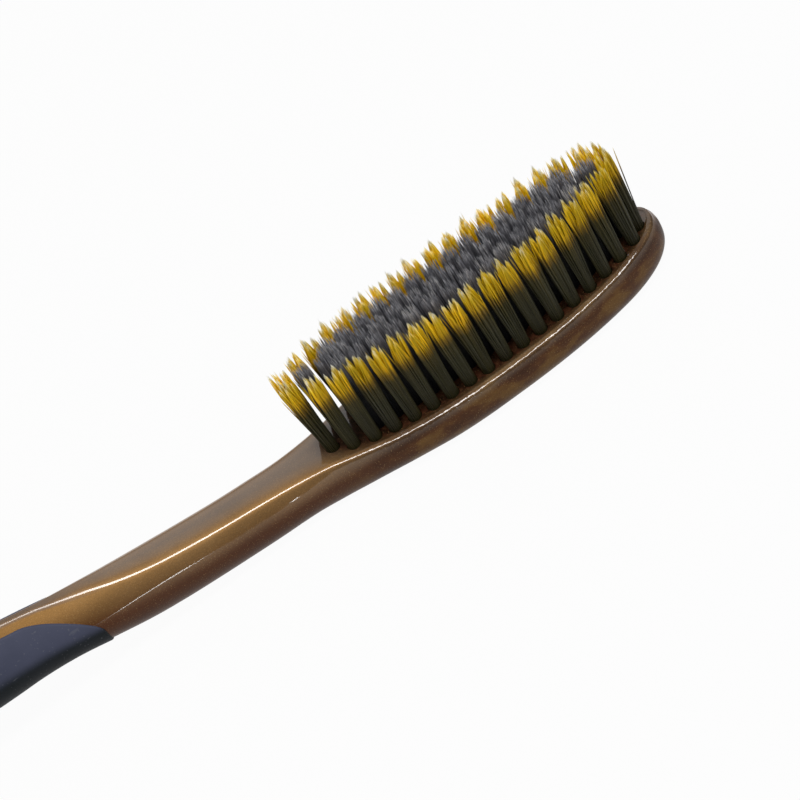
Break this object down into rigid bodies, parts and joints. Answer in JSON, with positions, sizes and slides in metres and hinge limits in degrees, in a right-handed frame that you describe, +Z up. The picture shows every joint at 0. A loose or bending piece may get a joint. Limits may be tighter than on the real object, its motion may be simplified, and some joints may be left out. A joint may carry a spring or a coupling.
{
  "type": "manual toothbrush",
  "caption": "Manual toothbrush with an oval bristle head, a curved neck, and a long moulded handle with a rubber overmould on the sides and back of the grip.",
  "frame": {"origin": "middle of the bounding box in X and Y, at the surface that the brush lies on", "axes": "+X from the tail of the handle to the tip of the head, +Z up, on the bristle side, +Y to the left when looking along +X"},
  "size_m": [0.19, 0.0138, 0.0173],
  "materials": {
    "handle": "pearlescent bronze with fine gold flakes",
    "rubber": "matte",
    "outer_bristles": "dark olive nylon with yellow tips",
    "inner_bristles": "black nylon with grey tips",
    "anchors": "bright"
  },
  "bodies": {
    "root": {"handle": "handle", "rubber_grip": "rubber", "outer_tufts_left": "outer_bristles", "outer_tufts_right": "outer_bristles", "inner_tufts_left": "inner_bristles", "inner_tufts_right": "inner_bristles", "middle_tufts": "inner_bristles", "tuft_anchors": "anchors"}
  },
  "joints": []
}
